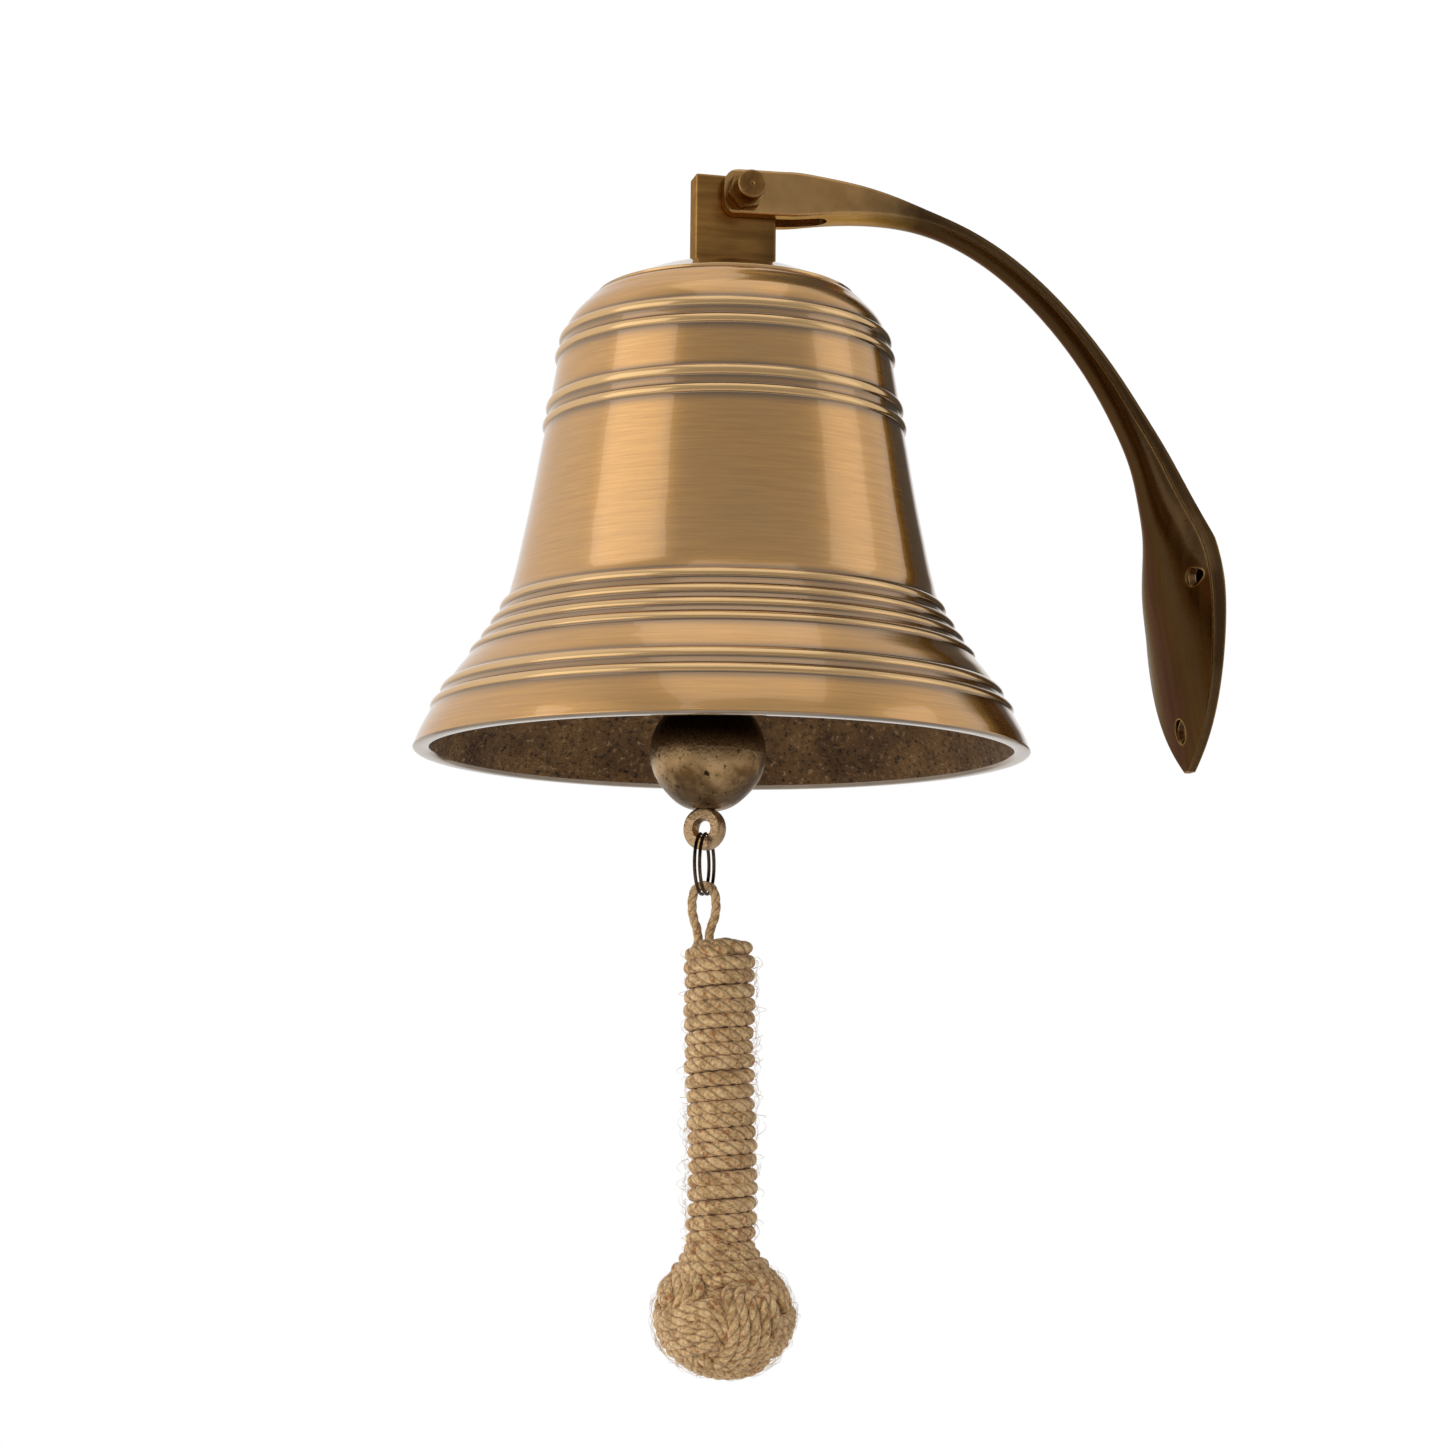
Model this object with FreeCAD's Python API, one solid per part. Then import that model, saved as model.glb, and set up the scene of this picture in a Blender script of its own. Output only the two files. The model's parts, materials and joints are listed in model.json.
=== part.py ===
"""Ship bell on a wall bracket, with its clapper and its rope pull.

Row frame: origin on the flat back of the wall plate, +X into the wall, +Z up.
All lengths are in millimetres. Heights in the tables are above the bell's mouth.
"""
import FreeCAD
import Part
import math
import os

from FreeCAD import Placement, Rotation, Vector

# ---- placing -------------------------------------------------------------
BELL_X = -166.2            # the bell's axis stands this far in front of the wall
MOUTH_Z = -40.0            # height of the bell's mouth in the row frame
PIVOT_SHIFT = 3.8          # the pivot is this much nearer the wall than the bell's axis
PIVOT_H = 189.0

# ---- bell shell ----------------------------------------------------------
# outer surface without its beads: (height, radius)
WAIST = [(0.8, 101.4), (6.0, 99.3), (12.0, 96.2), (17.8, 92.9), (25.4, 87.9), (30.0, 84.3),
         (35.7, 80.0), (40.5, 76.8), (45.5, 73.8), (51.5, 71.1), (56.6, 69.7), (63.0, 68.2),
         (71.0, 66.6), (81.0, 64.6), (91.0, 62.8), (101.0, 61.1), (112.6, 59.0), (122.0, 57.6),
         (130.0, 56.3), (136.2, 55.2), (143.0, 53.2), (146.6, 51.0), (149.9, 47.9), (152.3, 45.6),
         (154.0, 43.0)]
# the raised cap on the crown: (radius, height)
CAP_EDGE = [(43.0, 154.0), (43.4, 154.5), (42.5, 155.0)]
CAP = [(42.5, 155.0), (40.2, 155.8), (35.0, 158.1), (28.7, 160.8), (21.0, 163.4), (12.0, 165.0)]
# raised beads: (height of the middle, half height)
BEADS = [(15.1, 1.5), (20.5, 1.6), (33.2, 1.4), (38.1, 1.4), (42.8, 1.4), (48.2, 1.5),
         (109.6, 1.6), (115.7, 1.8), (133.2, 1.6), (139.2, 1.7)]
BEAD_PROUD = 1.1
# wall thickness: (height, thickness)
WALL = [(0.0, 5.6), (12.0, 5.0), (26.0, 4.4), (42.0, 3.8), (62.0, 3.6), (84.0, 3.6),
        (106.0, 3.8), (124.0, 4.0), (136.0, 4.6)]
INNER_CROWN = [(46.0, 144.8), (40.6, 149.8), (32.0, 154.6), (21.0, 158.2), (10.0, 159.8)]
INNER_TOP = 159.8
CROWN_TOP = 165.0

# ---- crown block, pivot bolt and cap nut ----------------------------------
BLOCK_W = 28.0
BLOCK_D = 8.6
BLOCK_TOP = 196.2
BLOCK_SHIFT = 2.3          # the block's middle is off the bell's axis by this
BLOCK_ROUND = 0.9
BOLT_R = 3.15
RUNNING_R = 3.22
HEX_FLATS = 11.1
HEX_H = 4.2
CAP_R = 4.85
CAP_H = 11.6

# ---- bracket -------------------------------------------------------------
FORK_W = 17.6
SLOT_W = 9.4
FORK_REACH = 6.8           # how far the fork goes past the bolt
FORK_ROUND = 5.2
SPOT_R = 7.2               # flat faces under the bolt's head and the nut
SLOT_END = 35.0            # the slot's root, from the bell's axis
CORNER = 1.1
# sections of the arm: (x from the wall, height, degrees below level,
#                       width, edge thickness, thickness in the middle)
FORK_START = (-173.0, 189.4, 0.0, 17.6, 15.6, 15.8)
ARM = [(-148.0, 190.1, 0.0, 17.6, 15.4, 15.6),
       (-136.0, 190.5, 1.0, 17.2, 13.6, 14.0),
       (-122.0, 190.4, 5.0, 16.4, 10.2, 10.8),
       (-109.0, 189.0, 9.0, 15.4, 7.0, 7.8),
       (-98.0, 186.5, 14.0, 14.6, 4.7, 5.9),
       (-85.0, 182.1, 22.0, 14.4, 3.7, 5.3),
       (-68.6, 173.2, 34.0, 14.6, 3.5, 5.3),
       (-54.2, 161.5, 43.0, 15.2, 3.5, 5.6),
       (-42.2, 148.8, 50.0, 15.8, 3.6, 6.1),
       (-32.2, 135.6, 55.0, 16.8, 3.8, 6.8),
       (-23.8, 122.0, 60.0, 18.4, 4.0, 7.9),
       (-16.8, 108.4, 64.0, 21.4, 4.3, 9.8),
       (-12.2, 95.6, 72.0, 27.0, 4.8, 12.4),
       (-9.0, 84.5, 80.0, 36.4, 5.0, 14.4)]
# the leaf-shaped plate, its back in the wall plane: (height, half width, edge and middle thickness)
LEAF = [(74.0, 24.8, 5.1, 15.2), (63.0, 29.6, 5.0, 14.2), (52.0, 30.6, 4.7, 11.8), (38.0, 28.6, 4.2, 9.0),
        (24.0, 23.6, 3.6, 6.2), (12.0, 15.6, 2.9, 3.9), (4.0, 7.0, 2.5, 2.7), (0.6, 2.4, 2.4, 2.5)]
BACK_EXTRA = 1.0           # cut away again, to leave a truly flat back
SCREW_Y = 24.0
SCREW_H = 64.5
LOW_SCREW_H = 14.5
SCREW_R = 2.3
SINK_R = 4.2
SINK_AT = 9.0              # the countersinks' rims, this far in front of the wall
LOW_SINK_AT = 3.6

# ---- eyebolt, washer and nut in the crown ----------------------------------
STUD_R = 2.5
STUD_HOLE_R = 2.7
THREAD_GAP = 0.02
STUD_TOP = 180.0
NUT_FLATS = 8.0
NUT_H = 4.0
WASHER_R = 5.5
WASHER_H = 1.0
WIRE_R = 1.5
EYE_R = 5.0
EYE_H = 146.6

# ---- link and clapper -------------------------------------------------------
LINK_R = 7.0
LINK_H = 138.0
CLAPPER_PIVOT_H = LINK_H - LINK_R
TOP_HOLE_R = 3.0
TOP_LUG_R = 7.0
TOP_LUG_T = 5.0
BALL_H = 0.4
BALL = [(19.2, 0.0), (18.5, -4.6), (16.9, -8.6), (13.6, -13.0), (10.2, -16.2), (5.5, -18.5)]
SHANK_TOP_R = 3.4
SHANK_LOW_R = 4.6
LUG_H = -24.6
LUG_R = 7.0
LUG_T = 4.9
LUG_HOLE_R = 2.6
LUG_MOUTH_R = 3.4          # the lug's hole is worn wider at its two ends
LUG_TURN = 42.0            # degrees from -Y towards -X that the lug faces
CLAPPER_LEAN = 2.0         # the clapper hangs this far out of the bell's axis

# ---- split ring, loop, grip and knot ----------------------------------------
RING_R = 9.9
RING_WIRE_R = 0.575
RING_SPREAD = 0.85         # each turn is this far from the ring's middle plane
RING_TURN = 27.5           # degrees from -Y towards -X of the ring's plane
RING_AIR = 0.45            # between the ring and the bottom of the lug's hole
RING_GAP = 12.0            # degrees each side of the top that the joggle takes
CORD_D = 3.1
# the loop's route: (along the ring's axis, height)
LOOP = [(-1.8, -62.0), (-1.8, -58.2), (-3.8, -53.2), (-4.1, -48.0), (-3.1, -43.9), (0.1, -42.8),
        (3.1, -44.0), (4.2, -48.2), (3.9, -53.4), (1.8, -58.3), (1.8, -62.0)]
GRIP_X = 1.0              # the grip's axis, from the bell's axis
GRIP_TOP = -62.0
CORE_R = 8.4
WRAP_R = 11.6
KNOT_X = 2.5
KNOT_TOP = -162.5
KNOT_H = -181.6
KNOT_HALF_W = 24.0
KNOT_HALF_H = 20.6


def at(x_from_axis, y, height):
    """A point given from the bell's axis and mouth, in the row frame."""
    return Vector(BELL_X + x_from_axis, y, MOUTH_Z + height)


def smooth(points):
    """One smooth edge through (radius, height) points of a profile in the XZ plane."""
    curve = Part.BSplineCurve()
    curve.interpolate([Vector(r, 0, h) for r, h in points])
    return curve.toShape()


def straight(a, b):
    return Part.makeLine(Vector(a[0], 0, a[1]), Vector(b[0], 0, b[1]))


def arc(a, middle, b):
    return Part.Arc(Vector(a[0], 0, a[1]), Vector(middle[0], 0, middle[1]), Vector(b[0], 0, b[1])).toShape()


def turned(edges, centre):
    """A solid of revolution about the vertical line through centre."""
    face = Part.Face(Part.Wire(edges))
    solid = face.revolve(Vector(0, 0, 0), Vector(0, 0, 1), 360)
    solid.translate(centre)
    return solid


def follow(table, x):
    """Smooth value at x of a table of (x, value) rows, each slope taken from its two neighbours."""
    last = len(table) - 1
    i = 0
    while i < last - 1 and x > table[i + 1][0]:
        i += 1
    x0, v0 = table[i]
    x1, v1 = table[i + 1]
    before = table[max(i - 1, 0)]
    after = table[min(i + 2, last)]
    slope0 = (v1 - before[1]) / (x1 - before[0])
    slope1 = (after[1] - v0) / (after[0] - x0)
    span = x1 - x0
    t = (x - x0) / span
    a = (1 + 2 * t) * (1 - t) ** 2 * v0 + t * (1 - t) ** 2 * span * slope0
    b = t * t * (3 - 2 * t) * v1 + t * t * (t - 1) * span * slope1
    return a + b


def hexagon(flats, height):
    """A hexagonal prism standing on the XY plane."""
    radius = flats / 2 / math.cos(math.radians(30))
    corners = [Vector(radius * math.cos(math.radians(60 * i)), radius * math.sin(math.radians(60 * i)), 0)
               for i in range(7)]
    return Part.Face(Part.makePolygon(corners)).extrude(Vector(0, 0, height))


def bell_outer_edges():
    """The outer profile from the lip to the cap's edge, with its beads."""
    edges = []
    low = WAIST[0][0]
    for middle, half in BEADS + [(WAIST[-1][0], 0.0)]:
        high = middle - half
        steps = max(2, int((high - low) / 6.0) + 1)
        heights = [low + (high - low) * i / steps for i in range(steps + 1)]
        edges.append(smooth([(follow(WAIST, h), h) for h in heights]))
        if half > 0:
            low = middle + half
            edges.append(arc((follow(WAIST, high), high),
                             (follow(WAIST, middle) + BEAD_PROUD, middle),
                             (follow(WAIST, low), low)))
    return edges


def make_bell_shell():
    lip_out = (WAIST[0][1] - 0.8, 0.0)
    lip_in = (WAIST[0][1] - WALL[0][1], 0.0)
    inner = [lip_in]
    inner += [(follow(WAIST, h) - thickness, h) for h, thickness in WALL[1:]]
    inner += INNER_CROWN
    edges = [straight(lip_out, (WAIST[0][1], WAIST[0][0]))]
    edges += bell_outer_edges()
    edges.append(arc(*CAP_EDGE))
    edges.append(smooth(CAP))
    edges.append(straight(CAP[-1], (STUD_HOLE_R, CROWN_TOP)))
    edges.append(straight((STUD_HOLE_R, CROWN_TOP), (STUD_HOLE_R, INNER_TOP)))
    edges.append(straight((STUD_HOLE_R, INNER_TOP), INNER_CROWN[-1]))
    edges.append(smooth(list(reversed(inner))))
    edges.append(straight(lip_in, lip_out))
    return turned(edges, at(0, 0, 0))


def make_crown_block():
    width = BLOCK_W
    height = BLOCK_TOP - CROWN_TOP
    block = Part.makeBox(width, BLOCK_D, height, at(BLOCK_SHIFT - width / 2, -BLOCK_D / 2, CROWN_TOP))
    upper_edges = [e for e in block.Edges if e.CenterOfMass.z > MOUTH_Z + CROWN_TOP + 1]
    block = block.makeFillet(BLOCK_ROUND, upper_edges)
    hole_start = at(PIVOT_SHIFT, -BLOCK_D / 2 - 1, PIVOT_H)
    hole = Part.makeCylinder(RUNNING_R, BLOCK_D + 2, hole_start, Vector(0, 1, 0))
    tapped = Part.makeCylinder(STUD_R + THREAD_GAP, STUD_TOP - CROWN_TOP + 1, at(0, 0, CROWN_TOP - 0.5))
    return block.cut(hole).cut(tapped)


def make_pivot_bolt():
    """The shank through the fork, with its hexagonal head at the back."""
    near = -FORK_W / 2 - CAP_H + 3.5
    far = FORK_W / 2
    shank = Part.makeCylinder(BOLT_R, far - near, at(PIVOT_SHIFT, near, PIVOT_H), Vector(0, 1, 0))
    head = hexagon(HEX_FLATS, HEX_H)
    head.Placement = Placement(at(PIVOT_SHIFT, far, PIVOT_H), Rotation(Vector(1, 0, 0), -90))
    return shank.fuse(head).removeSplitter()


def make_pivot_cap_nut():
    """A hexagonal nut with a plain round cap, flat at its end, on the near side of the fork."""
    nut = hexagon(HEX_FLATS, HEX_H)
    cap = Part.makeCylinder(CAP_R, CAP_H)
    cap = cap.makeFillet(0.7, [e for e in cap.Edges if e.CenterOfMass.z > CAP_H - 0.1])
    dimple = Part.makeCone(0.0, 0.8, 0.9, Vector(0, 0, CAP_H - 0.7))
    bore = Part.makeCylinder(BOLT_R + THREAD_GAP, CAP_H - 3.0, Vector(0, 0, -0.5))
    nut = nut.fuse(cap).cut(bore).cut(dimple)
    turn = Rotation(Vector(1, 0, 0), 90).multiply(Rotation(Vector(0, 0, 1), 12))
    nut.Placement = Placement(at(PIVOT_SHIFT, -FORK_W / 2, PIVOT_H), turn)
    return nut


def arm_section(back, down, width, edge, middle):
    """A rounded strap section: flat-backed, its front crowned. down is the angle below level."""
    a = math.radians(down)
    front = Vector(-math.sin(a), 0, -math.cos(a))
    side = Vector(0, 1, 0)
    half = width / 2
    c = CORNER
    k = 0.293 * c

    def p(y, n):
        return back + side * y + front * n

    ring = [((-half + c, 0), (0, -0.12), (half - c, 0)),
            ((half - c, 0), (half - k, k), (half, c)),
            ((half, c), (half + 0.25, edge / 2), (half, edge - c)),
            ((half, edge - c), (half - k, edge - k), (half - c, edge)),
            ((half - c, edge), (0, middle), (-half + c, edge)),
            ((-half + c, edge), (-half + k, edge - k), (-half, edge - c)),
            ((-half, edge - c), (-half - 0.25, edge / 2), (-half, c)),
            ((-half, c), (-half + k, k), (-half + c, 0))]
    return Part.Wire([Part.Arc(p(*s), p(*m), p(*e)).toShape() for s, m, e in ring])


def arm_wire(row):
    """The section of one row of the arm's table, whose x and height are at the section's middle."""
    x, h, down, width, edge, middle = row
    a = math.radians(down)
    back = Vector(x + math.sin(a) * middle / 2, 0, MOUTH_Z + h + math.cos(a) * middle / 2)
    return arm_section(back, down, width, edge, middle)


def make_wall_bracket():
    """The arm, forked at its end, that flattens into the leaf-shaped wall plate."""
    fork = Part.makeLoft([arm_wire(FORK_START), arm_wire(ARM[0])], True, True)
    wires = [arm_wire(row) for row in ARM]
    for h, half, edge, middle in LEAF:
        back = Vector(BACK_EXTRA, 0, MOUTH_Z + h)
        wires.append(arm_section(back, 90, 2 * half, edge + BACK_EXTRA, middle + BACK_EXTRA))
    body = Part.makeLoft(wires, True, False).fuse(fork)
    body = body.cut(Part.makeBox(20, 120, 300, Vector(0, -60, -100)))
    return body.cut(fork_cutters()).cut(screw_cutters())


def fork_cutters():
    """What is cut from the arm's end: outside its round, the slot, and the bolt's hole."""
    pivot = at(PIVOT_SHIFT, 0, PIVOT_H)
    y_axis = Vector(0, 1, 0)
    low = MOUTH_Z + FORK_START[1] - FORK_START[5] / 2
    end = Part.makeBox(40, 60, FORK_START[5], Vector(pivot.x - FORK_REACH, -30, low))
    end = end.makeFillet(FORK_ROUND, [e for e in end.Edges if e.CenterOfMass.x < pivot.x - FORK_REACH + 0.1
                                      and abs(e.CenterOfMass.y) < 1 and e.Length > 50])
    outside = Part.makeBox(FORK_ROUND + 12, 40, 40, Vector(pivot.x - FORK_REACH - 12, -20, low - 10))
    outside = outside.cut(end)
    slot = Part.makeBox(SLOT_END + 20 - SLOT_W / 2, SLOT_W, 40, at(-20, -SLOT_W / 2, PIVOT_H - 20))
    root = Part.makeCylinder(SLOT_W / 2, 40, at(SLOT_END - SLOT_W / 2, 0, PIVOT_H - 20))
    hole = Part.makeCylinder(BOLT_R + THREAD_GAP, 60, pivot - y_axis * 30, y_axis)
    near_face = Part.makeCylinder(SPOT_R, 5, pivot - y_axis * FORK_W / 2, -y_axis)
    far_face = Part.makeCylinder(SPOT_R, 5, pivot + y_axis * FORK_W / 2, y_axis)
    return outside.fuse([slot, root, hole, near_face, far_face])


def screw_cutters():
    """Three screw holes through the plate, each with its countersink."""
    cutters = []
    upper_screws = [(-SCREW_Y, SCREW_H, SINK_AT), (SCREW_Y, SCREW_H, SINK_AT)]
    lower_screw = (0, LOW_SCREW_H, LOW_SINK_AT)
    for y, h, rim in upper_screws + [lower_screw]:
        out = Vector(-1, 0, 0)
        centre = Vector(0, y, MOUTH_Z + h)
        depth = SINK_R - SCREW_R
        hole = Part.makeCylinder(SCREW_R, rim + 2, centre - out, out)
        cone = Part.makeCone(SCREW_R, SINK_R, depth, centre + out * (rim - depth), out)
        above = Part.makeCylinder(SINK_R, 12, centre + out * rim, out)
        cutters.append(hole.fuse(cone).fuse(above))
    return cutters[0].fuse(cutters[1:])


def make_clapper_eyebolt():
    """The stud that holds the block on the crown and carries the clapper's link."""
    low = EYE_H + EYE_R
    stud = Part.makeCylinder(STUD_R, STUD_TOP - low, at(0, 0, low))
    eye = Part.makeTorus(EYE_R, WIRE_R, at(0, 0, EYE_H), Vector(0, 1, 0))
    return stud.fuse(eye)


def make_crown_washer():
    low = INNER_TOP - WASHER_H
    disc = Part.makeCylinder(WASHER_R, WASHER_H, at(0, 0, low))
    return disc.cut(Part.makeCylinder(STUD_HOLE_R, WASHER_H + 2, at(0, 0, low - 1)))


def make_crown_nut():
    low = INNER_TOP - WASHER_H - NUT_H
    nut = hexagon(NUT_FLATS, NUT_H)
    nut.translate(at(0, 0, low))
    return nut.cut(Part.makeCylinder(STUD_R + THREAD_GAP, NUT_H + 2, at(0, 0, low - 1)))


def make_clapper_link():
    return Part.makeTorus(LINK_R, WIRE_R, at(0, 0, LINK_H), Vector(1, 0, 0))


def make_clapper():
    """One casting: top lug, shank, ball and the lower lug for the split ring."""
    top_hole_h = CLAPPER_PIVOT_H - 0.6
    top = Part.makeCylinder(TOP_LUG_R, TOP_LUG_T, at(0, -TOP_LUG_T / 2, top_hole_h), Vector(0, 1, 0))
    top_hole = Part.makeCylinder(TOP_HOLE_R, 20, at(0, -10, top_hole_h), Vector(0, 1, 0))
    shank_low = BALL_H + 15.0
    shank_high = top_hole_h - TOP_LUG_R + 1.2
    shank = Part.makeCone(SHANK_LOW_R, SHANK_TOP_R, shank_high - shank_low, at(0, 0, shank_low))
    radius = BALL[0][0]
    upper = arc((0, radius), (radius * 0.7071, radius * 0.7071), BALL[0])
    ball = turned([upper, smooth(BALL), straight(BALL[-1], (0, BALL[-1][1])),
                   straight((0, BALL[-1][1]), (0, radius))], at(0, 0, BALL_H))
    a = math.radians(LUG_TURN)
    face = Vector(-math.sin(a), -math.cos(a), 0)
    lug = Part.makeCylinder(LUG_R, LUG_T, at(0, 0, LUG_H) - face * (LUG_T / 2), face)
    lug = lug.makeFillet(0.9, [e for e in lug.Edges if e.Length > 40])
    lug_hole = Part.makeCylinder(LUG_HOLE_R, 20, at(0, 0, LUG_H) - face * 10, face)
    for way in (face, -face):
        worn = Part.makeCone(LUG_HOLE_R, LUG_MOUTH_R, LUG_T / 2, at(0, 0, LUG_H), way)
        lug_hole = lug_hole.fuse(worn)
    clapper = top.fuse(shank).fuse(ball).fuse(lug).cut(top_hole).cut(lug_hole)
    clapper.rotate(at(0, 0, CLAPPER_PIVOT_H), Vector(0, 1, 0), CLAPPER_LEAN)
    return clapper


def lug_hole_centre():
    """The lower lug's hole after the clapper's lean."""
    a = math.radians(CLAPPER_LEAN)
    reach = CLAPPER_PIVOT_H - LUG_H
    return at(-reach * math.sin(a), 0, CLAPPER_PIVOT_H - reach * math.cos(a))


def ring_centre():
    """The ring rests on the lower edge of the lug's hole, with a little air."""
    drop = LUG_HOLE_R - RING_WIRE_R - RING_AIR
    return lug_hole_centre() - Vector(0, 0, drop + RING_R)


def ring_axes():
    """The level direction in the ring's plane, and the ring's own axis."""
    a = math.radians(RING_TURN)
    return Vector(-math.sin(a), -math.cos(a), 0), Vector(math.cos(a), -math.sin(a), 0)


def make_split_ring():
    """Two turns of round wire, side by side, joined by a joggle across the top."""
    start = math.radians(90 + RING_GAP)
    end = math.radians(90 - RING_GAP)
    a = Vector(RING_R * math.cos(end), RING_R * math.sin(end), -RING_SPREAD)
    b = Vector(RING_R * math.cos(start), RING_R * math.sin(start), RING_SPREAD)
    pieces = []
    for offset in (-RING_SPREAD, RING_SPREAD):
        turn = Part.makeTorus(RING_R, RING_WIRE_R, Vector(0, 0, offset), Vector(0, 0, 1), -180, 180,
                              360 - 2 * RING_GAP)
        turn.rotate(Vector(0, 0, 0), Vector(0, 0, 1), 90 + RING_GAP)
        pieces.append(turn)
    pieces.append(Part.makeCylinder(RING_WIRE_R, (b - a).Length, a, b - a))
    for tip in (a, b):
        pieces.append(Part.makeSphere(RING_WIRE_R * 1.06, tip))
    ring = pieces[0].fuse(pieces[1:])
    level = ring_axes()[0]
    up = Vector(0, 0, 1)
    ring.Placement = Placement(ring_centre(), Rotation(level, up, level.cross(up), "XYZ"))
    return ring


def rounded_path(points):
    """Straight runs joined by tangent arcs, each as large as its two runs allow. Also returns the radii."""
    edges = []
    radii = []
    here = points[0]
    for before, corner, after in zip(points, points[1:], points[2:]):
        come = corner - before
        go = after - corner
        half_turn = come.getAngle(go) / 2
        radius = 0.45 * min(come.Length, go.Length) / math.tan(half_turn)
        cut = radius * math.tan(half_turn)
        a = corner - come.normalize() * cut
        b = corner + go.normalize() * cut
        bisector = (a + b) * 0.5 - corner
        inside = corner + bisector.normalize() * (radius / math.cos(half_turn) - radius)
        edges.append(Part.LineSegment(here, a).toShape())
        edges.append(Part.Arc(a, inside, b).toShape())
        radii.append(radius)
        here = b
    edges.append(Part.LineSegment(here, points[-1]).toShape())
    return Part.Wire(edges), radii


def make_pull_loop():
    """The cord's loop through the split ring, both ends on the grip's core."""
    axis = ring_axes()[1]
    foot = ring_centre()
    points = [Vector(foot.x, foot.y, 0) + axis * u + Vector(0, 0, MOUTH_Z + h) for u, h in LOOP]
    path, radii = rounded_path(points)
    circle = Part.Circle(points[0], points[1] - points[0], CORD_D / 2).toShape()
    tube = path.makePipeShell([Part.Wire(circle)], True, True)
    section = math.pi * CORD_D ** 2 / 4
    print("loop radii", [round(r, 2) for r in radii])
    print("loop length", round(path.Length, 2), "volume over section times length",
          round(tube.Volume / section / path.Length, 4))
    return tube


def make_pull_core():
    length = GRIP_TOP - KNOT_TOP
    return Part.makeCylinder(CORE_R, length, at(GRIP_X, 0, KNOT_TOP))


def make_pull_wrap():
    """The cord wound round the core, as one plain sleeve."""
    length = GRIP_TOP - KNOT_TOP
    sleeve = Part.makeCylinder(WRAP_R, length, at(GRIP_X, 0, KNOT_TOP))
    rims = [e for e in sleeve.Edges if e.Closed and e.CenterOfMass.z > MOUTH_Z + GRIP_TOP - 0.1]
    sleeve = sleeve.makeFillet(1.4, rims)
    return sleeve.cut(Part.makeCylinder(CORE_R, length + 2, at(GRIP_X, 0, KNOT_TOP - 1)))


def make_pull_knot():
    """A flattened ball, its top cut flat where the grip enters it."""
    outline = [(KNOT_HALF_W * math.sin(math.radians(a)), KNOT_HALF_H * math.cos(math.radians(a)))
               for a in range(0, 181, 15)]
    ball = turned([smooth(outline), straight(outline[-1], outline[0])], at(KNOT_X, 0, KNOT_H))
    return ball.cut(Part.makeBox(80, 80, 40, at(KNOT_X - 40, -40, KNOT_TOP)))


PARTS = {
    "wall_bracket": make_wall_bracket,
    "pivot_bolt": make_pivot_bolt,
    "pivot_cap_nut": make_pivot_cap_nut,
    "crown_block": make_crown_block,
    "bell_shell": make_bell_shell,
    "clapper_eyebolt": make_clapper_eyebolt,
    "crown_washer": make_crown_washer,
    "crown_nut": make_crown_nut,
    "clapper_link": make_clapper_link,
    "clapper": make_clapper,
    "split_ring": make_split_ring,
    "pull_loop": make_pull_loop,
    "pull_core": make_pull_core,
    "pull_wrap": make_pull_wrap,
    "pull_knot": make_pull_knot,
}

os.makedirs("parts", exist_ok=True)
for name, make in PARTS.items():
    shape = make()
    solids = shape.Solids
    box = shape.BoundBox
    span = "x %.1f %.1f y %.1f %.1f z %.1f %.1f" % (
        box.XMin, box.XMax, box.YMin, box.YMax, box.ZMin, box.ZMax)
    print(name, "solids", len(solids), "valid", shape.isValid(), "volume", round(shape.Volume, 1), span)
    shape.exportStep("parts/" + name + ".step")
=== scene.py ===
"""Ship bell on its wall bracket: looks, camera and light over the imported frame. All lengths in metres."""
import json
import math
import random

import bmesh
import bpy
from mathutils import Matrix, Quaternion, Vector


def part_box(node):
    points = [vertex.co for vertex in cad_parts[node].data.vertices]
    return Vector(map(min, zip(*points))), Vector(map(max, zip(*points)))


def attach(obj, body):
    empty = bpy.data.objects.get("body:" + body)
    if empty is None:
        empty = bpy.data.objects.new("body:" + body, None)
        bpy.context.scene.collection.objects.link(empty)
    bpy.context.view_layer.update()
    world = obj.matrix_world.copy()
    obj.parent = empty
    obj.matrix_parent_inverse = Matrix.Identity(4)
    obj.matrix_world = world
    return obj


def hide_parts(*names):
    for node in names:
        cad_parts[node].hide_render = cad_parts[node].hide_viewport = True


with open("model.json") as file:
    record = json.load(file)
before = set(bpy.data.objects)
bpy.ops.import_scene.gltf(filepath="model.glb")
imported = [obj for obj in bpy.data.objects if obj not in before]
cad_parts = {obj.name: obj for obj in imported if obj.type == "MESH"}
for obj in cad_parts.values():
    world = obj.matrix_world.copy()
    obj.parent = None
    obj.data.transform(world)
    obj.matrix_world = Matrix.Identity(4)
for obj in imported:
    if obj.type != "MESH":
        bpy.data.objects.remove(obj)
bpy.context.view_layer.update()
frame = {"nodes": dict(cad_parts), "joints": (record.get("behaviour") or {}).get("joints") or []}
scene = bpy.context.scene
nodes = frame["nodes"]
joints = {joint["name"]: joint for joint in frame["joints"]}

# ---- places, from the frame ----------------------------------------------
BELL_LOW, BELL_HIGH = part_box("bell_shell")
BELL_X = (BELL_LOW.x + BELL_HIGH.x) / 2
MOUTH_Z = BELL_LOW.z
WRAP_LOW, WRAP_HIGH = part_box("pull_wrap")
KNOT_LOW, KNOT_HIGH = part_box("pull_knot")
RING_CENTRE = Vector(joints["pull_swing"]["pos_m"])
RING_AXIS = Vector(joints["pull_swing"]["axis"]).normalized()
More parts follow.
